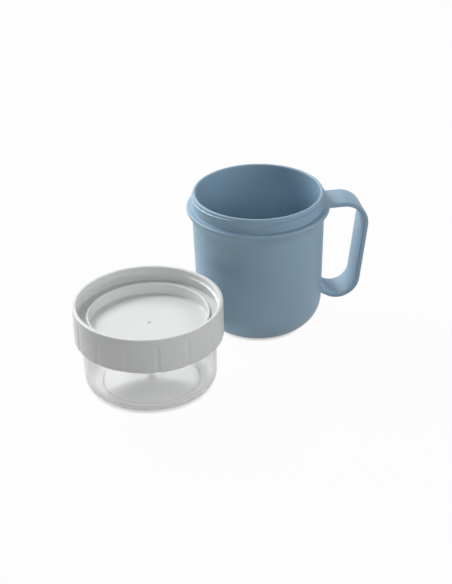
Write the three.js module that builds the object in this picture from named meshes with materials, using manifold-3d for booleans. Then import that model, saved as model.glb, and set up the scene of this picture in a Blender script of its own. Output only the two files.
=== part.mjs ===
// A two-compartment breakfast cup, taken apart on the table: a mug with a moulded handle, and beside it
// a clear pot under the double-ended screw lid that joins the two.
// Millimetres, +Z up. The handle points along +X. The origin is on the table, in the middle of the set.

import * as THREE from "three";
import { mergeVertices } from "three/addons/utils/BufferGeometryUtils.js";
import Module from "manifold-3d";

const wasm = await Module();
wasm.setup();

// Facets round a full turn.
const SEGMENTS = 48;

// Depth by which a joined or cut shape runs into its neighbour.
const BITE = 1;

// Thread shared by the mug's neck, the lid and the pot's neck: right hand, three starts.
const THREAD = {
  starts: 3,
  lead: 10,
  rootWidth: 1.6,
  crestWidth: 0.9,
  proud: 1.1,
  runOut: 12,
  steps: 16,
};

// Axial distance from a neck's ridge to the lid's ridge that runs below it, half the way to the next start.
const THREAD_OFFSET = THREAD.lead / THREAD.starts / 2;

// Mug, measured from the table.
const MUG = {
  height: 102.4,
  neckRadius: 45.5,
  neckWall: 2.2,
  rimRound: 0.9,
  flangeRadius: 50,
  flangeTop: 92.3,
  flangeEdge: 1.2,
  skirtBottom: 88.8,
  shoulderBottom: 84.6,
  shoulderRadius: 46.1,
  bodyRadius: 44.6,
  cornerRadius: 22,
  innerCorner: 17.5,
  wall: 2.5,
  floor: 3.2,
  footWidth: 4.3,
  recess: 0.8,
  threadStart: -101,
  threadSweep: 105,
  threadLow: 97.8,
};

// Handle strap, in the plane through the mug's axis: distance from the axis and height.
const HANDLE = {
  width: 23,
  thickness: 3.3,
  top: 92.2,
  upperBend: 17.7,
  upperCentre: 59.3,
  lean: 7.3,
  lowerBend: 15.8,
  lowerCentre: 55.9,
  lowest: 16.9,
  lowerEnd: 137,
  rootDepth: 42,
  edge: 0.6,
};

// Screw lid, measured from its own lower edge.
const LID = {
  radius: 50,
  height: 24.7,
  wallInside: 47.2,
  lip: 0.8,
  disc: 8.6,
  discRadius: 39.6,
  web: 1.9,
  shelf: 10.3,
  plugRadius: 41.2,
  plugTop: 16.2,
  gateRadius: 1.6,
  gateHeight: 0.7,
  grooves: 15,
  grooveCutter: 3.5,
  grooveDepth: 0.5,
  grooveTop: 19.7,
  groovePhase: -90.8,
  mugThreadStart: -44.5,
  mugThreadSweep: 100,
  potThreadLag: 10,
  potThreadSweep: 75,
};

// Clear pot, measured from the table.
const POT = {
  height: 44.3,
  neckRadius: 45.3,
  baseRadius: 44.8,
  cornerRadius: 8.5,
  innerCorner: 9.6,
  wall: 2.2,
  floor: 2.6,
  rimRound: 0.7,
  footWidth: 3,
  recess: 0.6,
  threadStart: -60,
  threadSweep: 95,
  threadLow: 39.6,
};

// Soft sealing rings in the lid, one for each neck.
const SEAL = {
  inner: 41.6,
  outer: 46.8,
  mugThickness: 2,
  potThickness: 1.3,
  gap: 0.3,
};

// Where the pot stands beside the mug's axis, and how high the lid's lower edge is on it.
const POT_PLACE = { x: -87.4, y: -64 };
const LID_BOTTOM = 36;

const MATERIALS = {
  mug: { color: 0x7f96a6, roughness: 0.42, metalness: 0 },
  lid: { color: 0xd4d6d5, roughness: 0.4, metalness: 0 },
  pot: { color: 0xeef1f1, roughness: 0.12, metalness: 0 },
  seal: { color: 0xdfe1df, roughness: 0.65, metalness: 0 },
};

const radians = THREE.MathUtils.degToRad;

// Points of an arc in a profile, from one angle to another in degrees.
function arc(x, y, radius, from, to, steps) {
  const points = [];
  for (let i = 0; i <= steps; i += 1) {
    const angle = radians(from + ((to - from) * i) / steps);
    points.push([x + radius * Math.cos(angle), y + radius * Math.sin(angle)]);
  }
  return points;
}

// Points of a cone between two profile points, with its corners softened.
function softCone(low, high, steps) {
  const points = [];
  for (let i = 0; i <= steps; i += 1) {
    const t = i / steps;
    const ease = (t + t * t * (3 - 2 * t)) / 2;
    points.push([low[0] + (high[0] - low[0]) * ease, low[1] + (high[1] - low[1]) * t]);
  }
  return points;
}

// A closed geometry as a solid for joining and cutting, with its faces turned outwards.
function solid(geometry) {
  const plain = new THREE.BufferGeometry();
  plain.setAttribute("position", geometry.getAttribute("position"));
  plain.setIndex(geometry.getIndex());
  const merged = mergeVertices(plain, 1e-4);
  const position = merged.getAttribute("position").array;
  const index = merged.getIndex().array;
  const triangles = [];
  let volume = 0;
  for (let i = 0; i < index.length; i += 3) {
    const [a, b, c] = [index[i], index[i + 1], index[i + 2]];
    if (a === b || b === c || c === a) continue;
    triangles.push(a, b, c);
    const [p, q, r] = [a, b, c].map((v) => new THREE.Vector3().fromArray(position, 3 * v));
    volume += p.dot(q.cross(r));
  }
  if (volume < 0) triangles.reverse();
  return new wasm.Manifold(
    new wasm.Mesh({
      numProp: 3,
      vertProperties: new Float32Array(position),
      triVerts: new Uint32Array(triangles),
    }),
  );
}

// A profile of [radius, height] points turned about the Z axis.
function turned(profile) {
  const points = profile.map(([radius, height]) => new THREE.Vector2(radius, height));
  const geometry = new THREE.LatheGeometry(points, SEGMENTS);
  geometry.rotateX(Math.PI / 2);
  return solid(geometry);
}

// One helical ridge on a round wall. It stands outwards on a neck and inwards in a socket,
// and fades into the wall over the run-out at each end.
function ridge({ wallRadius, outward, start, sweep, low }) {
  const half = THREAD.rootWidth / 2;
  const crest = THREAD.crestWidth / 2;
  const section = new THREE.Shape([
    new THREE.Vector2(-BITE, -half),
    new THREE.Vector2(0, -half),
    new THREE.Vector2(THREAD.proud, -crest),
    new THREE.Vector2(THREAD.proud, crest),
    new THREE.Vector2(0, half),
    new THREE.Vector2(-BITE, half),
  ]);
  const bar = new THREE.ExtrudeGeometry(section, { depth: 1, steps: THREAD.steps, bevelEnabled: false });
  const position = bar.getAttribute("position");
  for (let i = 0; i < position.count; i += 1) {
    const along = position.getZ(i);
    const angle = start + sweep * along;
    const fade = Math.min(1, (sweep * Math.min(along, 1 - along)) / THREAD.runOut);
    const stand = position.getX(i) > 0 ? position.getX(i) * fade : position.getX(i);
    const radius = outward ? wallRadius + stand : wallRadius - stand;
    const height = low + position.getY(i) + (THREAD.lead * sweep * along) / 360;
    position.setXYZ(i, radius * Math.cos(radians(angle)), radius * Math.sin(radians(angle)), height);
  }
  return solid(bar);
}

// The ridges of all starts of a thread, joined to a body.
function withThread(body, thread) {
  let threaded = body;
  for (let k = 0; k < THREAD.starts; k += 1) {
    const start = thread.start + (360 * k) / THREAD.starts;
    threaded = threaded.add(ridge({ ...thread, start }));
  }
  return threaded;
}

// The strap's outline in the plane of the handle, stretched across its width.
function handleStrap() {
  const upper = [HANDLE.upperCentre, HANDLE.top - HANDLE.upperBend];
  const lower = [HANDLE.lowerCentre, HANDLE.lowest + HANDLE.lowerBend];
  const bend = (inset) => [
    [HANDLE.rootDepth, HANDLE.top - inset],
    ...arc(upper[0], upper[1], HANDLE.upperBend - inset, 90, -HANDLE.lean, 8),
    ...arc(lower[0], lower[1], HANDLE.lowerBend - inset, -HANDLE.lean, -HANDLE.lowerEnd, 9),
  ];
  const outside = bend(HANDLE.edge);
  const inside = bend(HANDLE.thickness - HANDLE.edge);
  const rootHeight = outside[outside.length - 1][1];
  const root = [
    [HANDLE.rootDepth, rootHeight + HANDLE.edge],
    [HANDLE.rootDepth, rootHeight + HANDLE.thickness],
  ];
  const outline = [...outside, ...root, ...inside.reverse()].map(([x, y]) => new THREE.Vector2(x, y));
  const strap = new THREE.ExtrudeGeometry(new THREE.Shape(outline), {
    depth: HANDLE.width - 2 * HANDLE.edge,
    bevelEnabled: true,
    bevelThickness: HANDLE.edge,
    bevelSize: HANDLE.edge,
    bevelSegments: 1,
  });
  strap.rotateX(Math.PI / 2);
  strap.translate(0, HANDLE.width / 2 - HANDLE.edge, 0);
  return solid(strap);
}

// Mug: body, neck, flange and handle are one moulding.
function makeMug() {
  const m = MUG;
  const base = m.bodyRadius - m.cornerRadius;
  const footInside = base - m.footWidth;
  const outside = turned([
    [0, m.recess],
    [footInside - m.recess, m.recess],
    [footInside, 0],
    ...arc(base, m.cornerRadius, m.cornerRadius, -90, 0, 6),
    ...softCone([m.shoulderRadius, m.shoulderBottom], [m.flangeRadius, m.skirtBottom], 4),
    ...arc(m.flangeRadius - m.flangeEdge, m.flangeTop - m.flangeEdge, m.flangeEdge, 0, 90, 2),
    [m.neckRadius, m.flangeTop],
    ...arc(m.neckRadius - m.rimRound, m.height - m.rimRound, m.rimRound, 0, 90, 2),
    [0, m.height],
  ]);
  const mouth = m.neckRadius - m.neckWall;
  const lowerInside = m.bodyRadius - m.wall;
  const cavity = turned([
    [0, m.floor],
    ...arc(lowerInside - m.innerCorner, m.floor + m.innerCorner, m.innerCorner, -90, 0, 7),
    ...arc(mouth + m.rimRound, m.height - m.rimRound, m.rimRound, 180, 90, 2),
    [mouth + m.rimRound, m.height + BITE],
    [0, m.height + BITE],
  ]);
  const body = withThread(outside, {
    wallRadius: m.neckRadius,
    outward: true,
    start: m.threadStart,
    sweep: m.threadSweep,
    low: m.threadLow,
  });
  return body.add(handleStrap()).subtract(cavity);
}

// Screw lid: a ring with a web across it and a thread on each side of the web.
function makeLid() {
  const l = LID;
  const inside = l.wallInside;
  let lid = turned([
    [0, l.disc - l.web],
    [l.plugRadius, l.disc - l.web],
    [l.plugRadius, l.shelf],
    [inside, l.shelf],
    [inside, l.lip],
    [inside + l.lip, 0],
    ...arc(l.radius - l.lip, l.lip, l.lip, -90, 0, 2),
    ...arc(l.radius - l.lip, l.height - l.lip, l.lip, 0, 90, 2),
    ...arc(inside + l.lip, l.height - l.lip, l.lip, 90, 180, 2),
    [inside, l.shelf + l.web],
    [l.plugRadius, l.shelf + l.web],
    [l.plugRadius, l.plugTop - l.lip],
    [l.plugRadius - l.lip, l.plugTop],
    [l.discRadius, l.plugTop - l.lip / 2],
    [l.discRadius, l.disc],
    [l.gateRadius, l.disc],
    [l.gateRadius / 2, l.disc + l.gateHeight],
    [0, l.disc + l.gateHeight],
  ]);
  // Seen from the mug's side, the lid's ridge lies just short of the neck's ridge that it will catch.
  const neckRidge = MUG.threadLow - MUG.flangeTop;
  const rise = (THREAD.lead * l.mugThreadSweep) / 360;
  lid = withThread(lid, {
    wallRadius: inside,
    outward: false,
    start: l.mugThreadStart,
    sweep: l.mugThreadSweep,
    low: l.height - (neckRidge - THREAD_OFFSET) - rise,
  });
  lid = withThread(lid, {
    wallRadius: inside,
    outward: false,
    start: POT.threadStart + l.potThreadLag,
    sweep: l.potThreadSweep,
    low: POT.threadLow - LID_BOTTOM - THREAD_OFFSET + (THREAD.lead * l.potThreadLag) / 360,
  });
  for (let k = 0; k < l.grooves; k += 1) {
    const angle = radians(l.groovePhase + (360 * k) / l.grooves);
    const reach = l.radius + l.grooveCutter - l.grooveDepth;
    const cutter = new THREE.CylinderGeometry(l.grooveCutter, l.grooveCutter, l.grooveTop + BITE, 16);
    cutter.rotateX(Math.PI / 2);
    cutter.translate(reach * Math.cos(angle), reach * Math.sin(angle), (l.grooveTop - BITE) / 2);
    lid = lid.subtract(solid(cutter));
  }
  return lid;
}

// Clear pot: a low round jar with a threaded neck inside the lid.
function makePot() {
  const p = POT;
  const base = p.baseRadius - p.cornerRadius;
  const footInside = base - p.footWidth;
  const outside = turned([
    [0, p.recess],
    [footInside - p.recess, p.recess],
    [footInside, 0],
    ...arc(base, p.cornerRadius, p.cornerRadius, -90, 0, 6),
    ...arc(p.neckRadius - p.rimRound, p.height - p.rimRound, p.rimRound, 0, 90, 2),
    [0, p.height],
  ]);
  const innerFloor = p.baseRadius - p.wall - p.innerCorner;
  const mouth = p.neckRadius - p.wall;
  const cavity = turned([
    [0, p.floor],
    ...arc(innerFloor, p.floor + p.innerCorner, p.innerCorner, -90, 0, 6),
    ...arc(mouth + p.rimRound, p.height - p.rimRound, p.rimRound, 180, 90, 2),
    [mouth + p.rimRound, p.height + BITE],
    [0, p.height + BITE],
  ]);
  const body = withThread(outside, {
    wallRadius: p.neckRadius,
    outward: true,
    start: p.threadStart,
    sweep: p.threadSweep,
    low: p.threadLow,
  });
  return body.subtract(cavity);
}

// A flat sealing ring that lies on the lid's shelf or under it.
function makeSeal(low, thickness) {
  return turned([
    [SEAL.inner, low],
    [SEAL.outer, low],
    [SEAL.outer, low + thickness],
    [SEAL.inner, low + thickness],
    [SEAL.inner, low],
  ]);
}

// A named mesh of a finished solid.
function part(name, shape, finish) {
  const result = shape.getMesh();
  const geometry = new THREE.BufferGeometry();
  geometry.setAttribute("position", new THREE.BufferAttribute(new Float32Array(result.vertProperties), 3));
  geometry.setIndex(new THREE.BufferAttribute(new Uint32Array(result.triVerts), 1));
  geometry.computeVertexNormals();
  const mesh = new THREE.Mesh(geometry, new THREE.MeshStandardMaterial(finish));
  mesh.name = name;
  return mesh;
}

// The pot stands on the table, and the lid and its seals sit on the pot.
const potGroup = new THREE.Group();
potGroup.position.set(POT_PLACE.x, POT_PLACE.y, 0);
potGroup.add(part("clear_pot", makePot(), MATERIALS.pot));

const lidGroup = new THREE.Group();
lidGroup.position.z = LID_BOTTOM;
lidGroup.add(part("screw_lid", makeLid(), MATERIALS.lid));
const mugSealLow = LID.shelf + LID.web + SEAL.gap;
lidGroup.add(part("mug_seal", makeSeal(mugSealLow, SEAL.mugThickness), MATERIALS.seal));
const potSealLow = LID.shelf - SEAL.gap - SEAL.potThickness;
lidGroup.add(part("pot_seal", makeSeal(potSealLow, SEAL.potThickness), MATERIALS.seal));
potGroup.add(lidGroup);

// The set is moved so that the middle of the table area it covers is the origin.
const reach = {
  left: POT_PLACE.x - LID.radius,
  right: HANDLE.upperCentre + HANDLE.upperBend,
  front: POT_PLACE.y - LID.radius,
  back: MUG.flangeRadius,
};
const cup = new THREE.Group();
cup.add(part("mug", makeMug(), MATERIALS.mug));
cup.add(potGroup);
cup.position.set(-(reach.left + reach.right) / 2, -(reach.front + reach.back) / 2, 0);

export default cup;
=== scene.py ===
"""Looks of a two-compartment breakfast cup that stands taken apart on a table.

The mug with its moulded handle stands behind. In front of it the clear pot stands under the screw lid,
which has a thread on each side of its web, so that the pot can ride on top of the mug.

Sizes are written in millimetres. Meshes are made in metres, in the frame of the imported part.
"""

import logging
import math
from dataclasses import dataclass
from enum import Enum
from typing import NamedTuple, Sequence

import bmesh
import bpy
from bpy.types import GeometryNodeTree, Material, Mesh, Node, NodeSocket, NodeTree, Object, World
from mathutils import Matrix, Vector

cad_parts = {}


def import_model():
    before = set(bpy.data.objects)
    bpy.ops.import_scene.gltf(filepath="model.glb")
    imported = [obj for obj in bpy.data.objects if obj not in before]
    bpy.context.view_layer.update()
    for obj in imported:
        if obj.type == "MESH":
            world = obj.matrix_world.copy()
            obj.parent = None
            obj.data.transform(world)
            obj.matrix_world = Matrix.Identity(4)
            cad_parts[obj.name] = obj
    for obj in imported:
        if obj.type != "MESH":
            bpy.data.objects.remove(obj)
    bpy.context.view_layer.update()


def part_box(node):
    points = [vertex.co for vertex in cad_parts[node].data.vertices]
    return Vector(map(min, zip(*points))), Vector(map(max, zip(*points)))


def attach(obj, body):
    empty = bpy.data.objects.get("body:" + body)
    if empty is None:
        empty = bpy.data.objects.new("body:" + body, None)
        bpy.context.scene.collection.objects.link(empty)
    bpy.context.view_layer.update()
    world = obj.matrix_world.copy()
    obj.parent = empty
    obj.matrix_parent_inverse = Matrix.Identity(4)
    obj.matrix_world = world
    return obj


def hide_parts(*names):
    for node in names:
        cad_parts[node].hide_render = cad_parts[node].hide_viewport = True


LOG = logging.getLogger("breakfast_cup")

MM = 0.001
SHARP_ANGLE = math.radians(38)
PLASTIC_IOR = 1.49
WHITE = (1.0, 1.0, 1.0, 1.0)

Colour = tuple[float, float, float]
Fed = NodeSocket | float | int | bool | tuple | str


class Band(Enum):
    """Stretches of a turned section that a node tree may shape.

    Each has its number in the trees and the widest gap between its rows of vertices, in millimetres.
    """

    PLAIN = (0, 5.0)
    NECK_THREAD = (1, 0.27)
    UPPER_THREAD = (2, 0.27)
    LOWER_THREAD = (3, 0.27)
    GRIP = (4, 0.9)

    def __init__(self, number: int, row_gap: float) -> None:
        """Keeps the number and the gap of a band."""
        self.number = number
        self.row_gap = row_gap


class ThreadSide(Enum):
    """Which way the ridges of a thread stand from their wall."""

    OUTWARD = 1.0
    INWARD = -1.0


class Joining(Enum):
    """How a second solid changes a piece."""

    ADD = "UNION"
    CUT = "DIFFERENCE"


class Row(NamedTuple):
    """One ring of vertices of a turned body."""

    reach: float
    height: float
    band: Band


class Role(NamedTuple):
    """What a piece stands for: its body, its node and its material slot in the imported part."""

    body: str
    node: str
    slot: str


@dataclass(frozen=True)
class Corner:
    """One corner of a turned section, with the band of the stretch that follows it.

    Attributes:
        reach: Distance from the axis.
        height: Height above the body's own base.
        rounding: Radius that softens the corner.
        band: Treatment of the corner and of the stretch up to the next one.
    """

    reach: float
    height: float
    rounding: float = 0.0
    band: Band = Band.PLAIN


@dataclass(frozen=True)
class Turning:
    """A body of revolution, drawn as its section from one end on the axis to the other.

    Attributes:
        corners: Corners of the section, in order.
        segments: Vertices round each ring.
        fewest_steps: Fewest rows round a corner.
        steps_per_radian: Fewest rows round a corner for each radian that it turns.
        widest_step: Widest gap between the rows round a corner of a large radius.
    """

    corners: tuple[Corner, ...]
    segments: int
    fewest_steps: int = 4
    steps_per_radian: float = 5.0
    widest_step: float = 1.2

    def rows(self) -> list[Row]:
        """Follows the section with its corners softened.

        Returns:
            The rings of vertices, in order.
        """
        rows: list[Row] = []
        for i, corner in enumerate(self.corners):
            bend = self._bend(i)
            if rows:
                rows += self._stretch(rows[-1], bend[0], self.corners[i - 1].band)
            rows += bend
        return rows

    def _bend(self, i: int) -> list[Row]:
        """Softens one corner.

        Args:
            i: Place of the corner in the section.

        Returns:
            The rings round the corner, or one ring where it is sharp.
        """
        corner = self.corners[i]
        if corner.rounding == 0.0:
            return [Row(corner.reach, corner.height, corner.band)]
        tip = Vector((corner.reach, corner.height))
        neighbours = (self.corners[i - 1], self.corners[i + 1])
        back, ahead = (Vector((c.reach, c.height)) - tip for c in neighbours)
        half = back.angle(ahead) / 2
        back.normalize()
        ahead.normalize()
        centre = tip + (back + ahead).normalized() * (corner.rounding / math.sin(half))
        touch = tip + back * (corner.rounding / math.tan(half))
        swing = (math.pi - 2 * half) * (1 if back.x * ahead.y - back.y * ahead.x < 0 else -1)
        density = max(self.steps_per_radian, corner.rounding / self.widest_step)
        steps = max(self.fewest_steps, math.ceil(abs(swing) * density))
        spoke = touch - centre
        bend = []
        for step in range(steps + 1):
            at = centre + Matrix.Rotation(swing * step / steps, 2) @ spoke
            bend.append(Row(at.x, at.y, corner.band))
        return bend

    @staticmethod
    def _stretch(start: Row, end: Row, band: Band) -> list[Row]:
        """Splits the straight between two corners.

        Args:
            start: Last ring of the corner before.
            end: First ring of the corner after.
            band: Treatment of the straight.

        Returns:
            The rings between the two.
        """
        length = math.hypot(end.reach - start.reach, end.height - start.height)
        pieces = max(1, math.ceil(length / band.row_gap))
        rows = []
        for k in range(1, pieces):
            t = k / pieces
            reach = start.reach + (end.reach - start.reach) * t
            rows.append(Row(reach, start.height + (end.height - start.height) * t, band))
        return rows

    def mesh(self, name: str) -> Mesh:
        """Turns the section about the Z axis.

        Args:
            name: Name of the new mesh.

        Returns:
            A closed mesh in metres, with the band of each vertex as an attribute.
        """
        vertices: list[tuple[float, float, float]] = []
        faces: list[tuple[int, ...]] = []
        bands: list[int] = []
        below: list[int] = []
        for row in self.rows():
            count = 1 if row.reach == 0.0 else self.segments
            ring = list(range(len(vertices), len(vertices) + count))
            for k in range(count):
                angle = math.tau * k / self.segments
                reach = row.reach * MM
                vertices.append((reach * math.cos(angle), reach * math.sin(angle), row.height * MM))
                bands.append(row.band.number)
            if below:
                faces += self._belt(below, ring)
            below = ring
        mesh = bpy.data.meshes.new(name)
        mesh.from_pydata(vertices, [], faces)
        mesh.attributes.new("band", "INT", "POINT").data.foreach_set("value", bands)
        face_outwards(mesh)
        return mesh

    def _belt(self, below: Sequence[int], above: Sequence[int]) -> list[tuple[int, ...]]:
        """Joins two neighbouring rings, either of which may be a single point on the axis.

        Args:
            below: Vertices of the first ring.
            above: Vertices of the second ring.

        Returns:
            The faces between them.
        """
        faces = []
        for k in range(self.segments):
            after = (k + 1) % self.segments
            if len(below) == 1:
                faces.append((below[0], above[after], above[k]))
            elif len(above) == 1:
                faces.append((below[k], below[after], above[0]))
            else:
                faces.append((below[k], below[after], above[after], above[k]))
        return faces


def face_outwards(mesh: Mesh) -> None:
    """Turns the faces of a closed mesh outwards.

    Args:
        mesh: The mesh to turn.
    """
    work = bmesh.new()
    work.from_mesh(mesh)
    bmesh.ops.recalc_face_normals(work, faces=work.faces)
    work.to_mesh(mesh)
    work.free()


def base_middle(node: str) -> Vector:
    """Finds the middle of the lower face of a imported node's box, in metres."""
    low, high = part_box(node)
    return Vector(((low.x + high.x) / 2, (low.y + high.y) / 2, low.z))


class Graph:
    """Lays and links the nodes of one tree, in rows so that the tree can be read in Blender."""

    columns = 12
    column_step = 190
    row_step = -230

    def __init__(self, tree: NodeTree) -> None:
        """Starts on a shader or geometry tree."""
        self.tree = tree

    def node(self, kind: str, fed: dict[str | int, Fed] | None = None, **settings: object) -> Node:
        """Adds a node.

        Args:
            kind: Blender's name of the node type.
            fed: What its inputs take, by name or place: a socket to link or a plain value.
            **settings: Properties of the node.

        Returns:
            The new node.
        """
        node = self.tree.nodes.new(kind)
        row, column = divmod(len(self.tree.nodes), self.columns)
        node.location = (self.column_step * column, self.row_step * row)
        for key, value in settings.items():
            setattr(node, key, value)
        for key, value in (fed or {}).items():
            self.feed(node.inputs[key], value)
        return node

    def out(self, kind: str, fed: dict[str | int, Fed] | None = None, **settings: object) -> NodeSocket:
        """Adds a node in the same way, and returns its first output."""
        return self.node(kind, fed, **settings).outputs[0]

    def feed(self, socket: NodeSocket, value: Fed) -> None:
        """Links a socket, or sets it where the value is plain.

        Args:
            socket: The input.
            value: A socket or a plain value.
        """
        if isinstance(value, NodeSocket):
            self.tree.links.new(value, socket)
        else:
            socket.default_value = value

    def math(self, operation: str, *values: Fed) -> NodeSocket:
        """Adds a Math node with its inputs in order, and returns its result."""
        return self.out("ShaderNodeMath", dict(enumerate(values)), operation=operation)

    def ease(self, value: Fed, start: Fed, end: Fed, low: float = 0.0, high: float = 1.0) -> NodeSocket:
        """Adds a smooth step from low to high, while a value goes from start to end."""
        fed = {"Value": value, "From Min": start, "From Max": end, "To Min": low, "To Max": high}
        return self.out("ShaderNodeMapRange", fed, interpolation_type="SMOOTHSTEP")


class GeometryGraph(Graph):
    """A geometry tree with named inputs. It ends in Realize Instances and Set Material."""

    def __init__(self, name: str) -> None:
        """Starts an empty tree.

        Args:
            name: Name of the tree.
        """
        super().__init__(bpy.data.node_groups.new(name, "GeometryNodeTree"))
        self.tree.interface.new_socket("Geometry", in_out="OUTPUT", socket_type="NodeSocketGeometry")
        self.entry = self.node("NodeGroupInput")

    def input(self, name: str, kind: str = "Float") -> NodeSocket:
        """Adds a named input of a kind such as Int or Geometry, and returns its socket in the tree."""
        self.tree.interface.new_socket(name, in_out="INPUT", socket_type="NodeSocket" + kind)
        return self.entry.outputs[name]

    def sizes(self, *names: str) -> list[NodeSocket]:
        """Adds named inputs for plain numbers, and returns their sockets in order."""
        return [self.input(name) for name in names]

    def close(self, shape: NodeSocket) -> GeometryNodeTree:
        """Ends the tree.

        Args:
            shape: The finished geometry.

        Returns:
            The tree.
        """
        real = self.out("GeometryNodeRealizeInstances", {"Geometry": shape})
        fed = {"Geometry": real, "Material": self.input("Material", "Material")}
        self.node("NodeGroupOutput", {"Geometry": self.out("GeometryNodeSetMaterial", fed)})
        return self.tree

    def place(self) -> tuple[NodeSocket, ...]:
        """Splits each point's position into its x, y and z."""
        return tuple(self.node("ShaderNodeSeparateXYZ", {0: self.out("GeometryNodeInputPosition")}).outputs)

    def push(self, body: NodeSocket, band: NodeSocket, stand: Fed) -> NodeSocket:
        """Moves the vertices of one band away from the axis.

        Args:
            body: The turned body.
            band: Number of the band.
            stand: Distance for each vertex.

        Returns:
            The body with that band moved.
        """
        x, y, _ = self.place()
        flat = self.out("ShaderNodeCombineXYZ", {"X": x, "Y": y})
        outwards = self.out("ShaderNodeVectorMath", {0: flat}, operation="NORMALIZE")
        move = self.out("ShaderNodeVectorMath", {0: outwards, "Scale": stand}, operation="SCALE")
        own = self.out("GeometryNodeInputNamedAttribute", {"Name": "band"}, data_type="INT")
        chosen = self.out("FunctionNodeCompare", {2: own, 3: band}, data_type="INT", operation="EQUAL")
        fed = {"Geometry": body, "Selection": chosen, "Offset": move}
        return self.out("GeometryNodeSetPosition", fed)

    def sweep(self, path: NodeSocket, section_steps: int, caps: bool) -> NodeSocket:
        """Runs a flat section with softened edges along a path, sized by three new inputs.

        Args:
            path: The path, as a curve.
            section_steps: Points round each edge of the section.
            caps: Whether the ends are closed.

        Returns:
            The swept solid.
        """
        width, thickness, edge = self.sizes("Width", "Thickness", "Edge")
        plain = self.out("GeometryNodeCurvePrimitiveQuadrilateral", {"Width": width, "Height": thickness})
        fed = {"Curve": plain, "Count": section_steps, "Radius": edge}
        section = self.out("GeometryNodeFilletCurve", fed, mode="POLY")
        fed = {"Curve": path, "Profile Curve": section, "Fill Caps": caps}
        return self.out("GeometryNodeCurveToMesh", fed)


def screw_thread_tree() -> GeometryNodeTree:
    """Lays the tree that raises the ridges of a screw thread on a round wall.

    Returns:
        The tree.
    """
    g = GeometryGraph("screw_thread")
    body = g.input("Body", "Geometry")
    band = g.input("Band", "Int")
    side, starts, lead = g.sizes("Side", "Starts", "Lead")
    first, sweep, fade = g.sizes("Start angle", "Sweep angle", "Run-out angle")
    low, root, crest, proud = g.sizes("Start height", "Half root width", "Half crest width", "Stand")
    x, y, z = g.place()
    turn = g.math("SUBTRACT", g.math("ARCTAN2", y, x), first)
    along = g.math("WRAP", turn, g.math("DIVIDE", math.tau, starts), 0.0)
    middle = g.math("MULTIPLY_ADD", along, g.math("DIVIDE", lead, math.tau), low)
    flank = g.ease(g.math("ABSOLUTE", g.math("SUBTRACT", z, middle)), crest, root, 1.0, 0.0)
    to_end = g.math("MINIMUM", along, g.math("SUBTRACT", sweep, along))
    ridge = g.math("MULTIPLY", flank, g.ease(to_end, 0.0, fade))
    stand = g.math("MULTIPLY", ridge, g.math("MULTIPLY", proud, side))
    return g.close(g.push(body, band, stand))


def grip_flutes_tree() -> GeometryNodeTree:
    """Lays the tree that sinks shallow finger grooves into the lid's outer wall.

    Returns:
        The tree.
    """
    g = GeometryGraph("grip_flutes")
    body = g.input("Body", "Geometry")
    band = g.input("Band", "Int")
    count, phase, radius, cutter = g.sizes("Count", "First angle", "Wall radius", "Cutter radius")
    depth, top, fade = g.sizes("Depth", "Top", "Run-out")
    x, y, z = g.place()
    pitch = g.math("DIVIDE", math.tau, count)
    half = g.math("DIVIDE", pitch, 2.0)
    turn = g.math("SUBTRACT", g.math("ARCTAN2", y, x), phase)
    near = g.math("SUBTRACT", g.math("WRAP", g.math("ADD", turn, half), pitch, 0.0), half)
    across = g.math("MULTIPLY", near, radius)
    rest = g.math("SUBTRACT", g.math("MULTIPLY", cutter, cutter), g.math("MULTIPLY", across, across))
    reach = g.math("SQRT", g.math("MAXIMUM", rest, 0.0))
    sink = g.math("MAXIMUM", g.math("SUBTRACT", reach, g.math("SUBTRACT", cutter, depth)), 0.0)
    ends = g.ease(z, g.math("SUBTRACT", top, fade), top, 1.0, 0.0)
    return g.close(g.push(body, band, g.math("MULTIPLY", g.math("MULTIPLY", sink, ends), -1.0)))


def handle_strap_tree() -> GeometryNodeTree:
    """Lays the tree that runs a flat strap along the handle's path and flares it where it meets the mug.

    The flare leaves out the upper face of the upper end, which stays level with the mug's flange.

    Returns:
        The tree.
    """
    flare_power = 1.6
    least_upward = 0.2
    edge_points = 4
    g = GeometryGraph("handle_strap")
    path = g.input("Path", "Geometry")
    points = g.input("Points", "Int")
    wall, flare, reach, middle = g.sizes("Wall radius", "Flare", "Flare reach", "Middle height")
    curve = g.out("GeometryNodeMeshToCurve", {0: path})
    even = g.out("GeometryNodeResampleCurve", {"Curve": curve, "Count": points})
    level = g.out("GeometryNodeSetCurveNormal", {"Curve": even, "Normal": (0.0, 1.0, 0.0)}, mode="FREE")
    strap = g.sweep(level, edge_points, True)
    x, y, z = g.place()
    squares = g.math("ADD", g.math("MULTIPLY", x, x), g.math("MULTIPLY", y, y))
    away = g.math("SUBTRACT", g.math("SQRT", squares), wall)
    near = g.math("SUBTRACT", 1.0, g.ease(away, 0.0, reach))
    swell = g.math("MULTIPLY", g.math("POWER", near, flare_power), flare)
    facing = g.node("ShaderNodeSeparateXYZ", {0: g.out("GeometryNodeInputNormal")}).outputs
    upward = g.math("GREATER_THAN", facing[2], least_upward)
    flush = g.math("MULTIPLY", g.math("GREATER_THAN", z, middle), upward)
    lift = g.math("MULTIPLY", facing[2], g.math("SUBTRACT", 1.0, flush))
    fed = {"Y": g.math("MULTIPLY", facing[1], swell), "Z": g.math("MULTIPLY", lift, swell)}
    move = g.out("ShaderNodeCombineXYZ", fed)
    return g.close(g.out("GeometryNodeSetPosition", {"Geometry": strap, "Offset": move}))


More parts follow.
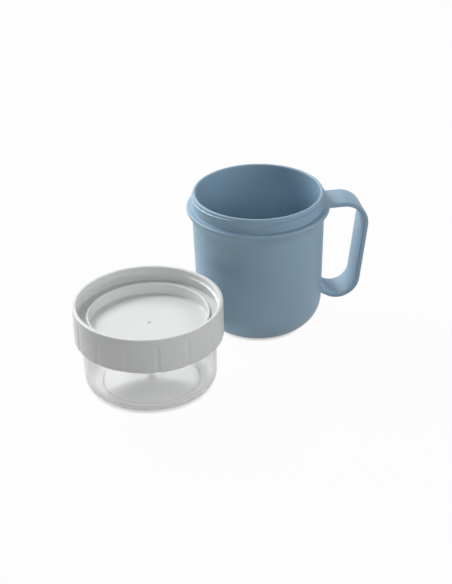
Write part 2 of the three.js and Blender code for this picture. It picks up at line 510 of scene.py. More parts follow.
def seal_ring_tree() -> GeometryNodeTree:
    """Lays the tree that runs a softened flat section round a circle.

    Returns:
        The tree.
    """
    edge_points = 3
    g = GeometryGraph("seal_ring")
    segments = g.input("Segments", "Int")
    radius, height = g.sizes("Middle radius", "Height")
    circle = g.out("GeometryNodeCurvePrimitiveCircle", {"Resolution": segments, "Radius": radius})
    ring = g.sweep(circle, edge_points, False)
    lift = g.out("ShaderNodeCombineXYZ", {"Z": height})
    return g.close(g.out("GeometryNodeSetPosition", {"Geometry": ring, "Offset": lift}))


class Workshop:
    """Makes pieces out of meshes and node trees, and settles them in the frame."""

    def __init__(self) -> None:
        """Lays the node trees."""
        self.thread = screw_thread_tree()
        self.flutes = grip_flutes_tree()
        self.strap = handle_strap_tree()
        self.seal = seal_ring_tree()

    @staticmethod
    def piece(name: str, mesh: Mesh) -> Object:
        """Puts a mesh into the scene.

        Args:
            name: Name of the piece.
            mesh: Its mesh.

        Returns:
            The new object, at the origin.
        """
        made = bpy.data.objects.new(name, mesh)
        bpy.context.scene.collection.objects.link(made)
        return made

    @staticmethod
    def run(piece: Object, tree: GeometryNodeTree, **inputs: object) -> None:
        """Hangs a node tree on a piece, with its inputs set by identifier.

        Args:
            piece: The piece.
            tree: The tree.
            **inputs: Values by input name, in small letters with _ for spaces and dashes.
        """
        modifier = piece.modifiers.new(tree.name, "NODES")
        modifier.node_group = tree
        for item in tree.interface.items_tree:
            key = item.name.lower().replace(" ", "_").replace("-", "_")
            if item.in_out == "INPUT" and key in inputs:
                modifier[item.identifier] = inputs[key]

    @staticmethod
    def settle(piece: Object) -> None:
        """Turns what a piece's modifiers make into its plain mesh.

        Args:
            piece: The piece.
        """
        graph = bpy.context.evaluated_depsgraph_get()
        made = bpy.data.meshes.new_from_object(
            piece.evaluated_get(graph), preserve_all_data_layers=True, depsgraph=graph
        )
        rough = piece.data
        piece.modifiers.clear()
        piece.data = made
        bpy.data.meshes.remove(rough)

    def combine(self, piece: Object, tool: Object, joining: Joining) -> None:
        """Joins a second solid to a piece or cuts it away. The second solid is used up.

        Args:
            piece: The piece that stays.
            tool: The solid that is used up.
            joining: Whether it is added or cut away.
        """
        modifier = piece.modifiers.new(joining.name.lower(), "BOOLEAN")
        modifier.operation = joining.value
        modifier.solver = "EXACT"
        modifier.object = tool
        self.settle(piece)
        spent = tool.data
        bpy.data.objects.remove(tool)
        bpy.data.meshes.remove(spent)

    @staticmethod
    def hand_over(piece: Object, place: Vector, role: Role) -> None:
        """Moves a finished mesh to its place, smooths it and ties it to the frame.

        Args:
            piece: The piece, made round the origin.
            place: Where that origin is in the frame, in metres.
            role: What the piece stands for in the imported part.
        """
        piece.data.transform(Matrix.Translation(place))
        piece.data.shade_smooth()
        piece.data.set_sharp_from_angle(angle=SHARP_ANGLE)
        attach(piece, role.body)
        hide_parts(role.node)
        LOG.info("%s: %d faces, rides on %s", piece.name, len(piece.data.polygons), role.body)


class PlasticGraph(Graph):
    """The shader tree of one plastic, round a Principled shader."""

    def __init__(self, name: str) -> None:
        """Starts a material.

        Args:
            name: Name of the material.
        """
        self.material = bpy.data.materials.new(name)
        self.material.use_nodes = True
        super().__init__(self.material.node_tree)
        self.skin = self.tree.nodes["Principled BSDF"]
        self.skin.inputs["IOR"].default_value = PLASTIC_IOR
        self.where = self.node("ShaderNodeTexCoord").outputs["Object"]

    def noise(self, scale: float, detail: float, distortion: float = 0.0) -> NodeSocket:
        """Adds a soft random pattern from 0 to 1, whose scale is its patches in a metre."""
        fed = {"Vector": self.where, "Scale": scale, "Detail": detail, "Distortion": distortion}
        return self.node("ShaderNodeTexNoise", fed).outputs["Fac"]

    def dress(self, roughness: NodeSocket, relief: NodeSocket, depth: float) -> None:
        """Gives the surface its sheen and its fine relief.

        Args:
            roughness: How rough each point is.
            relief: Height of each point, from 0 to 1.
            depth: Depth of the relief in millimetres.
        """
        self.feed(self.skin.inputs["Roughness"], roughness)
        fed = {"Height": relief, "Distance": depth * MM, "Strength": 1.0}
        self.feed(self.skin.inputs["Normal"], self.out("ShaderNodeBump", fed))


@dataclass(frozen=True)
class MouldedPlastic:
    """Satin injection-moulded plastic with a fine spark-eroded grain and faint flow marks.

    Attributes:
        name: Name of the material.
        colour: Linear colour.
        flow: Share by which flow marks darken or lighten the colour.
        roughness: Middle roughness.
        grain: Depth of the grain in millimetres.
        grain_size: Size of the grain in millimetres.
        flow_scale: Flow marks in a metre.
        flow_bend: How far the flow marks are drawn out.
        sheen_scale: Patches of more and less sheen in a metre.
        sheen_range: Difference in roughness between the patches.
    """

    name: str
    colour: Colour
    flow: float
    roughness: float
    grain: float
    grain_size: float
    flow_scale: float = 28.0
    flow_bend: float = 0.6
    sheen_scale: float = 95.0
    sheen_range: float = 0.1

    def build(self) -> Material:
        """Lays the shader.

        Returns:
            The material.
        """
        g = PlasticGraph(self.name)
        streaks = g.noise(self.flow_scale, detail=3.0, distortion=self.flow_bend)
        dark, light = (tuple(c * (1 + s * self.flow) for c in self.colour) + (1.0,) for s in (-1, 1))
        tone = g.out("ShaderNodeMixRGB", {"Fac": streaks, "Color1": dark, "Color2": light})
        g.feed(g.skin.inputs["Base Color"], tone)
        patches = g.noise(self.sheen_scale, detail=2.0)
        satin = g.math("MULTIPLY_ADD", patches, self.sheen_range, self.roughness - self.sheen_range / 2)
        g.dress(satin, g.noise(1 / (self.grain_size * MM), detail=2.0), self.grain)
        return g.material


@dataclass(frozen=True)
class ClearPlastic:
    """Clear moulded plastic with a little haze, which greys where it is thick.

    Attributes:
        name: Name of the material.
        tint: Linear colour of what passes.
        clear: Share of the surface that is clear. The rest is haze.
        shade: Share of lamp light that passes each surface it meets squarely.
        body: Linear colour of light that has gone some way through the plastic.
        density: How soon it takes that colour, per metre.
        roughness: Middle roughness.
        wave: Depth of the faint waves of the moulding in millimetres.
        film_scale: Patches of more and less haze in a metre.
        wave_scale: Waves in a metre.
        graze: How late the lamp light falls off towards a grazing angle.
    """

    name: str
    tint: Colour
    clear: float
    shade: float
    body: Colour
    density: float
    roughness: float
    wave: float
    film_scale: float = 60.0
    wave_scale: float = 45.0
    graze: float = 5.0

    def build(self) -> Material:
        """Lays the shader.

        Returns:
            The material.
        """
        g = PlasticGraph(self.name)
        g.skin.inputs["Base Color"].default_value = self.tint + (1.0,)
        g.skin.inputs["Transmission Weight"].default_value = self.clear
        film = g.noise(self.film_scale, detail=2.0)
        satin = g.math("MULTIPLY_ADD", film, self.roughness, self.roughness / 2)
        g.dress(satin, g.noise(self.wave_scale, detail=1.0), self.wave)
        aslant = g.node("ShaderNodeLayerWeight").outputs["Facing"]
        passes = g.math("MULTIPLY_ADD", g.math("POWER", aslant, self.graze), -self.shade, self.shade)
        passed = g.out("ShaderNodeBsdfTransparent", {"Color": passes})
        lamps = g.node("ShaderNodeLightPath").outputs["Is Shadow Ray"]
        output = g.tree.nodes["Material Output"]
        mix = g.out("ShaderNodeMixShader", {0: lamps, 1: g.skin.outputs[0], 2: passed})
        g.feed(output.inputs["Surface"], mix)
        fed = {"Color": self.body + (1.0,), "Density": self.density}
        g.feed(output.inputs["Volume"], g.out("ShaderNodeVolumeAbsorption", fed))
        return g.material


MUG_PLASTIC = MouldedPlastic("grey_blue_satin_plastic", (0.265, 0.4, 0.515), 0.02, 0.46, 0.012, 0.5)
LID_PLASTIC = MouldedPlastic("pale_grey_satin_plastic", (0.72, 0.735, 0.73), 0.012, 0.4, 0.008, 0.5)
SEAL_SILICONE = MouldedPlastic("white_silicone", (0.7, 0.71, 0.7), 0.02, 0.62, 0.006, 0.3)
POT_PLASTIC = ClearPlastic(
    "hazy_clear_plastic", (0.94, 0.945, 0.945), 0.88, 0.94, (0.5, 0.505, 0.505), 26.0, 0.08, 0.004
)


@dataclass(frozen=True)
class ScrewThread:
    """The ridges on one neck or socket. All of them share the lead and the widths, so that they fit.

    Attributes:
        band: Stretch of the turned body that carries the ridges.
        side: Which way they stand.
        start: Angle in degrees at which the first one starts.
        sweep: Angle in degrees that each one runs through.
        low: Height of the middle of a ridge at its start.
        starts: Number of ridges.
        lead: Rise of a ridge in a full turn.
        root_width: Width of a ridge at its wall.
        crest_width: Width of a ridge at its crest.
        stand: How far a ridge stands from its wall.
        run_out: Angle in degrees over which its ends fade.
    """

    band: Band
    side: ThreadSide
    start: float
    sweep: float
    low: float
    starts: int = 3
    lead: float = 10.0
    root_width: float = 1.4
    crest_width: float = 0.8
    stand: float = 1.1
    run_out: float = 14.0

    @property
    def offset(self) -> float:
        """Axial distance from a neck's ridge to the socket's ridge that runs below it."""
        return self.lead / self.starts / 2

    def raise_on(self, piece: Object, shop: Workshop, material: Material) -> None:
        """Hangs the thread's node tree on a turned body.

        Args:
            piece: The body.
            shop: The workshop.
            material: Finish of the body.
        """
        shop.run(
            piece,
            shop.thread,
            band=self.band.number,
            side=self.side.value,
            starts=float(self.starts),
            lead=self.lead * MM,
            start_angle=math.radians(self.start),
            sweep_angle=math.radians(self.sweep),
            run_out_angle=math.radians(self.run_out),
            start_height=self.low * MM,
            half_root_width=self.root_width / 2 * MM,
            half_crest_width=self.crest_width / 2 * MM,
            stand=self.stand * MM,
            material=material,
        )


@dataclass(frozen=True)
class GateMark:
    """The stub that the moulding's gate leaves in the middle of a floor.

    Attributes:
        radius: Radius at its foot.
        height: Height above the floor, or below it where the number is negative.
        foot_round: Rounding at its foot.
        tip_round: Rounding at its tip.
        taper: Share of the radius that is left at its tip.
    """

    radius: float
    height: float
    foot_round: float
    tip_round: float
    taper: float = 0.6

    def corners(self, level: float) -> tuple[Corner, ...]:
        """Draws the mark from its foot to the axis.

        Args:
            level: Height of the floor.

        Returns:
            Its corners.
        """
        tip = level + self.height
        return (
            Corner(self.radius, level, self.foot_round),
            Corner(self.radius * self.taper, tip, self.tip_round),
            Corner(0.0, tip),
        )


@dataclass(frozen=True)
class Handle:
    """The mug's strap handle, in the plane through the mug's axis.

    Attributes:
        reach: Distance from the mug's axis to the outside of the strap.
        top: Height of the strap's upper face.
        lowest: Height of the lowest point.
        width: Width of the strap.
        thickness: Thickness of the strap.
        upper_bend: Outer radius of the upper bend.
        lower_bend: Outer radius of the lower bend.
        lower_centre: Distance from the axis to the middle of the lower bend.
        lean: Angle in degrees by which the grip leans towards the mug.
        lower_end: Angle in degrees at which the lower bend runs into the mug.
        upper_root: Distance from the axis at which the strap starts, inside the mug.
        lower_root: Length by which its lower end runs on into the mug.
        edge: Rounding of the strap's edges.
        flare: How far the strap swells where it meets the mug.
        flare_reach: Length over which it swells.
        bend_step: Angle in degrees between the points of a bend.
        sections: Number of sections along the strap.
    """

    reach: float
    top: float = 92.2
    lowest: float = 16.9
    width: float = 23.0
    thickness: float = 3.3
    upper_bend: float = 17.7
    lower_bend: float = 15.8
    lower_centre: float = 55.9
    lean: float = 7.3
    lower_end: float = 140.0
    upper_root: float = 38.0
    lower_root: float = 6.0
    edge: float = 0.8
    flare: float = 1.4
    flare_reach: float = 4.5
    bend_step: float = 2.5
    sections: int = 200

    def path(self) -> list[tuple[float, float, float]]:
        """Follows the middle of the strap from inside the mug's wall round to the wall again.

        Returns:
            Points in metres.
        """
        inset = self.thickness / 2
        upper = (self.reach - self.upper_bend, self.top - self.upper_bend)
        lower = (self.lower_centre, self.lowest + self.lower_bend)
        points = [(self.upper_root, self.top - inset)]
        points += self._arc(upper, self.upper_bend - inset, 90.0, -self.lean)
        points += self._arc(lower, self.lower_bend - inset, -self.lean, -self.lower_end)
        x, z = points[-1]
        slope = math.radians(self.lower_end - 90)
        points.append((x - self.lower_root * math.cos(slope), z + self.lower_root * math.sin(slope)))
        return [(x * MM, 0.0, z * MM) for x, z in points]

    def _arc(
        self, centre: tuple[float, float], radius: float, start: float, end: float
    ) -> list[tuple[float, float]]:
        """Follows one bend.

        Args:
            centre: Middle of the bend.
            radius: Its radius.
            start: First angle in degrees.
            end: Last angle in degrees.

        Returns:
            Points every few degrees.
        """
        steps = math.ceil(abs(end - start) / self.bend_step)
        angles = [math.radians(start + (end - start) * k / steps) for k in range(steps + 1)]
        return [(centre[0] + radius * math.cos(a), centre[1] + radius * math.sin(a)) for a in angles]

    def build(self, shop: Workshop, wall: float, material: Material) -> Object:
        """Makes the strap as a solid of its own.

        Args:
            shop: The workshop.
            wall: Radius of the mug's wall at the strap's ends.
            material: Finish of the mug.

        Returns:
            The strap, which still runs into the mug's cavity.
        """
        points = self.path()
        mesh = bpy.data.meshes.new("handle_path")
        mesh.from_pydata(points, [(k, k + 1) for k in range(len(points) - 1)], [])
        strap = shop.piece("handle_strap", mesh)
        shop.run(
            strap,
            shop.strap,
            width=self.width * MM,
            thickness=self.thickness * MM,
            edge=self.edge * MM,
            points=self.sections,
            wall_radius=wall * MM,
            flare=self.flare * MM,
            flare_reach=self.flare_reach * MM,
            middle_height=(self.top + self.lowest) / 2 * MM,
            material=material,
        )
        shop.settle(strap)
        face_outwards(strap.data)
        return strap


@dataclass(frozen=True)
class Mug:
    """The mug: body, threaded neck, flange and handle in one moulding.

    Attributes:
        axis: Middle of the mug on the table, in metres.
        height: Height of the rim.
        flange_radius: Radius of the flange that the lid comes down on.
        handle_reach: Distance from the axis to the outside of the handle.
        neck_radius: Outer radius of the neck.
        neck_wall: Thickness of the neck.
        neck_round: Rounding at the foot of the neck.
        rim_round: Rounding of the rim's edges.
        flange_top: Height of the flange's upper face.
        flange_edge: Rounding of its upper edge.
        skirt_bottom: Height of its lower edge.
        skirt_round: Rounding of its lower edge.
        shoulder_bottom: Height at which the body starts to swell towards the flange.
        shoulder_round: Rounding of that bend.
        shoulder_radius: Radius of the body there.
        body_radius: Radius of the body above its lower corner.
        corner_radius: Rounding of the lower corner.
        inner_corner: Rounding of the corner inside.
        wall: Thickness of the body.
        floor: Height of the floor inside.
        foot_width: Width of the flat ring that the mug stands on.
        foot_round: Rounding of that ring's inner edge.
        recess: Height of the hollow under the floor.
        recess_round: Rounding of the hollow's corner.
        core_top: How far the solid that cuts the handle's roots reaches above the flange.
        thread: Ridges on the neck.
        segments: Vertices round the body.
    """

    axis: Vector
    height: float
    flange_radius: float
    handle_reach: float
    neck_radius: float = 45.5
    neck_wall: float = 2.2
    neck_round: float = 0.4
    rim_round: float = 0.9
    flange_top: float = 92.3
    flange_edge: float = 1.2
    skirt_bottom: float = 90.0
    skirt_round: float = 3.0
    shoulder_bottom: float = 83.9
    shoulder_round: float = 8.0
    shoulder_radius: float = 46.1
    body_radius: float = 44.6
    corner_radius: float = 22.0
    inner_corner: float = 17.5
    wall: float = 2.5
    floor: float = 3.2
    foot_width: float = 4.3
    foot_round: float = 0.3
    recess: float = 0.8
    recess_round: float = 0.4
    core_top: float = 1.0
    thread: ScrewThread = ScrewThread(Band.NECK_THREAD, ThreadSide.OUTWARD, -101.0, 105.0, 97.8)
    segments: int = 288

    @classmethod
    def on_frame(cls) -> "Mug":
        """Takes the mug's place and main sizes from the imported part.

        Returns:
            The mug.
        """
        low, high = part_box("mug")
        radius = (high.y - low.y) / 2
        axis = Vector((low.x + radius, (low.y + high.y) / 2, 0.0))
        return cls(axis, high.z / MM, radius / MM, (high.x - axis.x) / MM)

    def _body(self) -> Turning:
        """Draws the body with its neck and flange.

        Returns:
            The turned body.
        """
        foot = self.body_radius - self.corner_radius - self.foot_width
        mouth = self.neck_radius - self.neck_wall
        taper = (self.shoulder_radius - self.body_radius) / (self.shoulder_bottom - self.corner_radius)
        inside = self.body_radius - self.wall
        inner_taper = (mouth - inside) / (self.height - self.floor - self.inner_corner)
        corners = (
            Corner(0.0, self.recess),
            Corner(foot - self.recess, self.recess, self.recess_round),
            Corner(foot, 0.0, self.foot_round),
            Corner(self.body_radius - taper * self.corner_radius, 0.0, self.corner_radius),
            Corner(self.shoulder_radius, self.shoulder_bottom, self.shoulder_round),
            Corner(self.flange_radius, self.skirt_bottom, self.skirt_round),
            Corner(self.flange_radius, self.flange_top, self.flange_edge),
            Corner(self.neck_radius, self.flange_top, self.neck_round, Band.NECK_THREAD),
            Corner(self.neck_radius, self.height, self.rim_round),
            Corner(mouth, self.height, self.rim_round),
            Corner(inside - inner_taper * self.inner_corner, self.floor, self.inner_corner),
            Corner(0.0, self.floor),
        )
        return Turning(corners, self.segments)

    def _core(self) -> Turning:
        """Draws a solid that ends halfway through the mug's wall, to cut the handle's roots with.

        Returns:
            The turned solid.
        """
        half = self.body_radius - self.wall / 2
        root = self.neck_radius - self.neck_wall / 2
        low = self.floor + self.corner_radius / 2
        top = self.flange_top + self.core_top
        corners = (
            Corner(0.0, low),
            Corner(half, low),
            Corner(half, self.shoulder_bottom / 2),
            Corner(root, self.shoulder_bottom),
            Corner(root, top),
            Corner(0.0, top),
        )
        return Turning(corners, self.segments)

    def build(self, shop: Workshop) -> Object:
        """Makes and dresses the mug.

        Args:
            shop: The workshop.

        Returns:
            The finished piece.
        """
        material = MUG_PLASTIC.build()
        mug = shop.piece("mug_moulding", self._body().mesh("mug_moulding"))
        self.thread.raise_on(mug, shop, material)
        shop.settle(mug)
        handle = Handle(self.handle_reach).build(shop, self.body_radius, material)
        core = shop.piece("wall_core", self._core().mesh("wall_core"))
        shop.combine(handle, core, Joining.CUT)
        shop.combine(mug, handle, Joining.ADD)
        shop.hand_over(mug, self.axis, Role("mug", "mug", "mug_plastic"))
        return mug


@dataclass(frozen=True)
class ClearPot:
    """The clear pot: a low round jar with a threaded neck.

    Attributes:
        axis: Middle of the pot on the table, in metres.
        height: Height of the rim.
        neck_radius: Outer radius of the neck.
        neck_bottom: Height at which the neck starts.
        base_radius: Radius of the wall above its lower corner.
        corner_radius: Rounding of the lower corner.
        inner_corner: Rounding of the corner inside.
        wall: Thickness of the wall.
        floor: Height of the floor inside.
        rim_round: Rounding of the rim's edges.
        foot_width: Width of the flat ring that the pot stands on.
        foot_round: Rounding of that ring's inner edge.
        recess: Height of the hollow under the floor.
        foot_groove: Width and depth of the fine groove between the hollow and the foot ring.
        groove_round: Rounding of the groove's corners.
        under_gate: Gate mark under the floor.
        floor_gate: Gate mark on the floor.
        thread: Ridges on the neck.
        segments: Vertices round the pot.
    """

    axis: Vector
    height: float
    neck_radius: float = 45.3
    neck_bottom: float = 36.5
    base_radius: float = 44.8
    corner_radius: float = 8.5
    inner_corner: float = 6.2
    wall: float = 2.2
    floor: float = 2.6
    rim_round: float = 0.7
    foot_width: float = 3.0
    foot_round: float = 0.15
    recess: float = 0.7
    foot_groove: float = 0.8
    groove_round: float = 0.1
    under_gate: GateMark = GateMark(1.9, -0.5, 0.3, 0.2)
    floor_gate: GateMark = GateMark(1.9, 1.0, 0.3, 0.2)
    thread: ScrewThread = ScrewThread(Band.NECK_THREAD, ThreadSide.OUTWARD, -60.0, 95.0, 39.6)
    segments: int = 288

    @classmethod
    def on_frame(cls) -> "ClearPot":
        """Takes the pot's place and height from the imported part.

        Returns:
            The pot.
        """
        axis = base_middle("screw_lid")
        axis.z = 0.0
        return cls(axis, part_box("clear_pot")[1].z / MM)

    def _body(self) -> Turning:
        """Draws the pot.

        Returns:
            The turned body.
        """
        foot = self.base_radius - self.corner_radius - self.foot_width
        corners = (
            *reversed(self.under_gate.corners(self.recess)),
            Corner(foot - self.foot_groove, self.recess, self.groove_round),
            Corner(foot, self.recess + self.foot_groove, self.groove_round),
            Corner(foot, 0.0, self.foot_round),
            Corner(self.base_radius, 0.0, self.corner_radius),
            Corner(self.neck_radius, self.neck_bottom, 0.0, Band.NECK_THREAD),
            Corner(self.neck_radius, self.height, self.rim_round),
            Corner(self.neck_radius - self.wall, self.height, self.rim_round),
            Corner(self.base_radius - self.wall, self.floor, self.inner_corner),
            *self.floor_gate.corners(self.floor),
        )
        return Turning(corners, self.segments)

    def build(self, shop: Workshop) -> Object:
        """Makes and dresses the pot.

        Args:
            shop: The workshop.

        Returns:
            The finished piece.
        """
        material = POT_PLASTIC.build()
        pot = shop.piece("pot_moulding", self._body().mesh("pot_moulding"))
        self.thread.raise_on(pot, shop, material)
        shop.settle(pot)
        shop.hand_over(pot, self.axis, Role("clear_pot", "clear_pot", "clear_plastic"))
        return pot


@dataclass(frozen=True)
class ScrewLid:
    """The double-ended screw lid, measured from its own lower edge.

    Attributes:
        base: Middle of the lid's lower edge, in metres.
        radius: Radius of the outer wall.
        height: Height of the ring.
        wall_inside: Inner radius of the ring.
        lip: Rounding of the ring's edges.
        disc: Height of the disc in the middle of the web.
        disc_radius: Radius of the disc.
        disc_round: Rounding of the disc's corner.
        web: Thickness of the web.
        under_round: Rounding of the corner under the disc.
        shelf: Height of the web's underside outside the disc.
        shelf_round: Rounding of the corners there.
        channel_round: Rounding of the corners of the channel above it.
        plug_radius: Outer radius of the plug ring.
        plug_top: Height of the plug ring.
        plug_round: Rounding of its outer edge.
        plug_slope: How far its top falls towards the disc.
        plug_inner_round: Rounding of its inner edge.
        gate: Gate mark on the disc.
        groove_count: Number of finger grooves.
        groove_cutter: Radius of the cutter that the grooves follow.
        groove_depth: Depth of the grooves.
        groove_top: Height at which they end.
        groove_fade: Length over which they end.
        groove_phase: Angle in degrees of the first groove.
        neck_ridge: Height below the ring's upper edge of the mug's ridge, when the cup is closed.
        upper_thread_start: Angle in degrees at which the first upper ridge starts.
        upper_thread_sweep: Angle in degrees that an upper ridge runs through.
        upper_thread_stand: How far an upper ridge stands from its wall.
        lower_thread_lag: Angle in degrees from the start of a ridge of the pot to that of the lid.
        lower_thread_sweep: Angle in degrees that a lower ridge runs through.
        segments: Vertices round the lid.
    """

    base: Vector
    radius: float
    height: float
    wall_inside: float = 47.2
    lip: float = 0.8
    disc: float = 8.6
    disc_radius: float = 39.6
    disc_round: float = 0.7
    web: float = 1.9
    under_round: float = 0.5
    shelf: float = 10.3
    shelf_round: float = 0.4
    channel_round: float = 0.5
    plug_radius: float = 41.2
    plug_top: float = 16.2
    plug_round: float = 0.6
    plug_slope: float = 0.2
    plug_inner_round: float = 0.5
    gate: GateMark = GateMark(1.6, 0.7, 0.5, 0.35)
    groove_count: int = 15
    groove_cutter: float = 3.5
    groove_depth: float = 0.5
    groove_top: float = 19.7
    groove_fade: float = 1.5
    groove_phase: float = -90.8
    neck_ridge: float = 5.5
    upper_thread_start: float = -44.5
    upper_thread_sweep: float = 100.0
    upper_thread_stand: float = 1.5
    lower_thread_lag: float = 10.0
    lower_thread_sweep: float = 75.0
    segments: int = 405

    @classmethod
    def on_frame(cls) -> "ScrewLid":
        """Takes the lid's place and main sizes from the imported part."""
        low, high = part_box("screw_lid")
        return cls(base_middle("screw_lid"), (high.y - low.y) / 2 / MM, (high.z - low.z) / MM)

    def _body(self) -> Turning:
        """Draws the ring, the web across it and the plug ridge on the web.

        Returns:
            The turned body.
        """
        under = self.disc - self.web
        upper = self.shelf + self.web
        corners = (
            Corner(0.0, under),
            Corner(self.plug_radius, under, self.under_round),
            Corner(self.plug_radius, self.shelf, self.shelf_round),
            Corner(self.wall_inside, self.shelf, self.shelf_round, Band.LOWER_THREAD),
            Corner(self.wall_inside, 0.0, self.lip),
            Corner(self.radius, 0.0, self.lip, Band.GRIP),
            Corner(self.radius, self.height, self.lip),
            Corner(self.wall_inside, self.height, self.lip, Band.UPPER_THREAD),
            Corner(self.wall_inside, upper, self.channel_round),
            Corner(self.plug_radius, upper, self.channel_round),
            Corner(self.plug_radius, self.plug_top, self.plug_round),
            Corner(self.disc_radius, self.plug_top - self.plug_slope, self.plug_inner_round),
            Corner(self.disc_radius, self.disc, self.disc_round),
            *self.gate.corners(self.disc),
        )
        return Turning(corners, self.segments)

    def _threads(self, pot: ClearPot) -> list[ScrewThread]:
        """Sets the ridges that catch the mug's neck above the web and the pot's neck below it.

        Args:
            pot: The pot that the lid sits on.

        Returns:
            The upper and the lower thread.
        """
        theirs = pot.thread
        inward = ThreadSide.INWARD
        start, sweep, stand = self.upper_thread_start, self.upper_thread_sweep, self.upper_thread_stand
        upper_low = self.height - (self.neck_ridge - theirs.offset) - theirs.lead * sweep / 360
        lag = self.lower_thread_lag
        lower_low = theirs.low - self.base.z / MM - theirs.offset + theirs.lead * lag / 360
        return [
            ScrewThread(Band.UPPER_THREAD, inward, start, sweep, upper_low, stand=stand),
            ScrewThread(Band.LOWER_THREAD, inward, theirs.start + lag, self.lower_thread_sweep, lower_low),
        ]

    def build(self, shop: Workshop, pot: ClearPot) -> Object:
        """Makes and dresses the lid.

        Args:
            shop: The workshop.
            pot: The pot that the lid sits on.

        Returns:
            The finished piece.
        """
        material = LID_PLASTIC.build()
        lid = shop.piece("lid_moulding", self._body().mesh("lid_moulding"))
        for thread in self._threads(pot):
            thread.raise_on(lid, shop, material)
        shop.run(
            lid,
            shop.flutes,
            band=Band.GRIP.number,
            count=float(self.groove_count),
            first_angle=math.radians(self.groove_phase),
            wall_radius=self.radius * MM,
            cutter_radius=self.groove_cutter * MM,
            depth=self.groove_depth * MM,
            top=self.groove_top * MM,
            run_out=self.groove_fade * MM,
            material=material,
        )
        shop.settle(lid)
        shop.hand_over(lid, self.base, Role("screw_lid", "screw_lid", "lid_plastic"))
        return lid


@dataclass(frozen=True)
class SealRing:
    """A flat silicone ring in the lid, with softened edges.

    Attributes:
        name: Name of the piece.
        role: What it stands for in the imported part.
        inner: Inner radius.
        outer: Outer radius.
        edge: Rounding of its edges.
        segments: Sections round the ring.
    """

    name: str
    role: Role
    inner: float
    outer: float
    edge: float
    segments: int = 240

    def build(self, shop: Workshop, material: Material) -> Object:
        """Makes and dresses the ring.

        Args:
            shop: The workshop.
            material: Finish of the rings.

        Returns:
            The finished piece.
        """
        low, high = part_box(self.role.node)
        ring = shop.piece(self.name, bpy.data.meshes.new(self.name))
        shop.run(
            ring,
            shop.seal,
            segments=self.segments,
            middle_radius=(self.inner + self.outer) / 2 * MM,
            width=(self.outer - self.inner) * MM,
            thickness=high.z - low.z,
            edge=self.edge * MM,
            height=(high.z - low.z) / 2,
            material=material,
        )
        shop.settle(ring)
        face_outwards(ring.data)
        shop.hand_over(ring, base_middle(self.role.node), self.role)
        return ring


UPPER_SEAL = SealRing("upper_seal_ring", Role("screw_lid", "mug_seal", "seal_rubber"), 41.25, 47.15, 0.2)
LOWER_SEAL = SealRing("lower_seal_ring", Role("pot_seal", "pot_seal", "seal_rubber"), 41.6, 46.8, 0.3)


@dataclass(frozen=True)
class PhotoView:
    """The camera of the photograph, set from the mug's axis.

    Attributes:
        focal: Focal length in pixels of the long side.
        long_side: Length of the long side in pixels.
        sensor: Length of the long side on the sensor.
        place: Where it is along its own heading: right of the mug, in front of it, above the table.
        heading: Angle in degrees by which its heading is turned from +Y towards +X.
        pitch: Angle in degrees by which it looks down.
        roll: Angle in degrees by which it is rolled.
    """

    focal: float = 1408.9
    long_side: float = 584.0
    sensor: float = 36.0
    place: tuple[float, float, float] = (-23.74, -883.33, 525.15)
    heading: float = 9.5
    pitch: float = 29.66
    roll: float = 1.31

    def build(self, axis: Vector) -> None:
        """Makes the camera and gives it to the scene.

        Args:
            axis: Middle of the mug on the table, in metres.
        """
        lens = bpy.data.cameras.new("photo_view")
        lens.sensor_width = self.sensor
        lens.lens = self.focal / self.long_side * self.sensor
        turn = Matrix.Rotation(-math.radians(self.heading), 4, "Z")
        tilt = Matrix.Rotation(math.radians(90 - self.pitch), 4, "X")
        roll = Matrix.Rotation(-math.radians(self.roll), 4, "Z")
        shift = Matrix.Translation(axis + turn @ (Vector(self.place) * MM))
        camera = bpy.data.objects.new("photo_view", lens)
        camera.matrix_world = shift @ turn @ tilt @ roll
        bpy.context.scene.collection.objects.link(camera)
        bpy.context.scene.camera = camera


@dataclass(frozen=True)
class Softbox:
    """An oblong soft lamp that faces the set.

    Attributes:
        name: Name of the lamp.
        bearing: Angle in degrees at which it stands, from +Y towards +X.
        elevation: Angle in degrees above the table.
        size: Its width and height in metres.
        power: Its power in watts.
        mirrored: Whether it shows in glossy surfaces.
        distance: Distance from the set in metres.
    """

    name: str
    bearing: float
    elevation: float
    size: tuple[float, float]
    power: float
    mirrored: bool = True
    distance: float = 1.2

    def build(self, aim: Vector) -> None:
        """Makes the lamp.

        Args:
            aim: Point that it faces.
        """
        lamp = bpy.data.lights.new(self.name, "AREA")
        lamp.shape = "RECTANGLE"
        lamp.size, lamp.size_y = self.size
        lamp.energy = self.power
        box = bpy.data.objects.new(self.name, lamp)
        turn = Matrix.Rotation(math.radians(-self.bearing), 4, "Z")
        tip = Matrix.Rotation(math.radians(self.elevation - 90), 4, "X")
        away = Matrix.Translation((0.0, 0.0, self.distance))
        box.matrix_world = Matrix.Translation(aim) @ turn @ tip @ away
        box.visible_glossy = self.mirrored
        bpy.context.scene.collection.objects.link(box)


class Sight(NamedTuple):
    """1 for rays that see a surface straight, in a mirror or through clear plastic, else 0."""

    straight: NodeSocket
    mirrored: NodeSocket
    through: NodeSocket


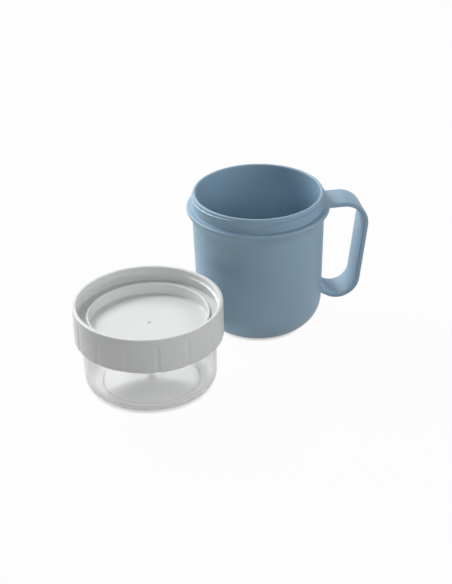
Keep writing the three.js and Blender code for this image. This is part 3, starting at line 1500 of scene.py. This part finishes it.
@dataclass(frozen=True)
class Studio:
    """A white table under soft light.

    Attributes:
        table: Half the length of the table's sides in metres.
        bounce: Share of light that the table throws on to the cup.
        glow: Share of plain white in what is seen of the table, which leaves the rest to its shadows.
        clear_glow: The same share for what is seen of the table through clear plastic.
        contact_glow: The same share where the cup touches the table.
        contact: Height in metres up to which something near the table darkens it.
        mirrored_contact: The same height for what is seen of the table in glossy surfaces.
        open_sky: Share of open sky from which the table no longer darkens.
        sky_samples: Samples of the open sky.
        ambient: Strength of the even light from all round.
        lamps: The soft lamps.
    """

    table: float = 3.0
    bounce: float = 0.5
    glow: float = 0.97
    clear_glow: float = 0.22
    contact_glow: float = 0.4
    contact: float = 0.003
    mirrored_contact: float = 0.009
    open_sky: float = 0.8
    sky_samples: int = 12
    ambient: float = 0.02
    lamps: tuple[Softbox, ...] = (
        Softbox("back_left_high", -35.5, 42.0, (0.6, 0.35), 11.5),
        Softbox("back_left_low", -43.0, 11.0, (0.9, 0.5), 9.2, False),
        Softbox("back", 4.5, 36.0, (0.3, 0.3), 1.4),
        Softbox("right", 109.5, 20.0, (0.6, 0.8), 5.7),
        Softbox("front", 189.5, 31.0, (0.6, 0.6), 4.05),
    )

    @staticmethod
    def _empty_graph(owner: Material | World) -> Graph:
        """Clears the tree of the table's material or of the world.

        Args:
            owner: The material or the world.

        Returns:
            Its tree.
        """
        owner.use_nodes = True
        owner.node_tree.nodes.clear()
        return Graph(owner.node_tree)

    @staticmethod
    def _sight(g: Graph) -> Sight:
        """Tells rays that show the table or the backdrop from rays that carry its light.

        Args:
            g: Tree of the table or the world.

        Returns:
            The kinds of rays. Rays through clear plastic also count as glossy, so they are taken out there.
        """
        path = g.node("ShaderNodeLightPath").outputs
        through = path["Is Transmission Ray"]
        mirrored = g.math("MULTIPLY", path["Is Glossy Ray"], g.math("SUBTRACT", 1.0, through))
        return Sight(path["Is Camera Ray"], mirrored, through)

    def _open_white(self, g: Graph, reach: float) -> NodeSocket:
        """Lessens the share of plain white where something stands within a reach above the table."""
        nearby = g.node("ShaderNodeAmbientOcclusion", {"Distance": reach}, samples=self.sky_samples)
        return g.ease(nearby.outputs["AO"], 0.0, self.open_sky, self.contact_glow, self.glow)

    def _build_table(self) -> None:
        """Makes the table top, on which only the shadows show."""
        s = self.table
        mesh = bpy.data.meshes.new("table_top")
        mesh.from_pydata([(-s, -s, 0), (s, -s, 0), (s, s, 0), (-s, s, 0)], [], [(0, 1, 2, 3)])
        top = bpy.data.objects.new("table_top", mesh)
        bpy.context.scene.collection.objects.link(top)
        white = bpy.data.materials.new("white_table")
        g = self._empty_graph(white)
        sight = self._sight(g)
        matt = g.out("ShaderNodeBsdfDiffuse", {"Color": (self.bounce, self.bounce, self.bounce, 1.0)})
        plain = g.out("ShaderNodeEmission", {"Color": WHITE, "Strength": 1.0})
        share = g.math("MULTIPLY", sight.mirrored, self._open_white(g, self.mirrored_contact))
        share = g.math("MULTIPLY_ADD", sight.straight, self._open_white(g, self.contact), share)
        share = g.math("MULTIPLY_ADD", sight.through, self.clear_glow, share)
        mix = g.out("ShaderNodeMixShader", {0: share, 1: matt, 2: plain})
        g.node("ShaderNodeOutputMaterial", {"Surface": mix})
        mesh.materials.append(white)

    def _build_world(self) -> None:
        """Makes the even light and the white backdrop."""
        world = bpy.data.worlds.new("white_room")
        g = self._empty_graph(world)
        sight = self._sight(g)
        shown = g.math("MAXIMUM", sight.straight, g.math("MAXIMUM", sight.mirrored, sight.through))
        strength = g.math("MULTIPLY_ADD", shown, 1.0 - self.ambient, self.ambient)
        room = g.out("ShaderNodeBackground", {"Color": WHITE, "Strength": strength})
        g.node("ShaderNodeOutputWorld", {"Surface": room})
        bpy.context.scene.world = world

    def build(self, aim: Vector) -> None:
        """Makes the table, the light and the backdrop.

        Args:
            aim: Point that the lamps face.
        """
        self._build_table()
        self._build_world()
        for lamp in self.lamps:
            lamp.build(aim)
        bpy.context.scene.view_settings.view_transform = "Standard"


def main() -> None:
    """Builds the cup piece by piece, then the studio round it."""
    logging.basicConfig(level=logging.INFO, format="%(name)s: %(message)s")
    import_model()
    shop = Workshop()
    mug = Mug.on_frame()
    pot = ClearPot.on_frame()
    lid = ScrewLid.on_frame()
    mug.build(shop)
    pot.build(shop)
    lid.build(shop, pot)
    silicone = SEAL_SILICONE.build()
    for ring in (UPPER_SEAL, LOWER_SEAL):
        ring.build(shop, silicone)
    PhotoView().build(mug.axis)
    Studio().build(Vector((0.0, 0.0, mug.height / 2 * MM)))


if __name__ == "__main__":
    main()
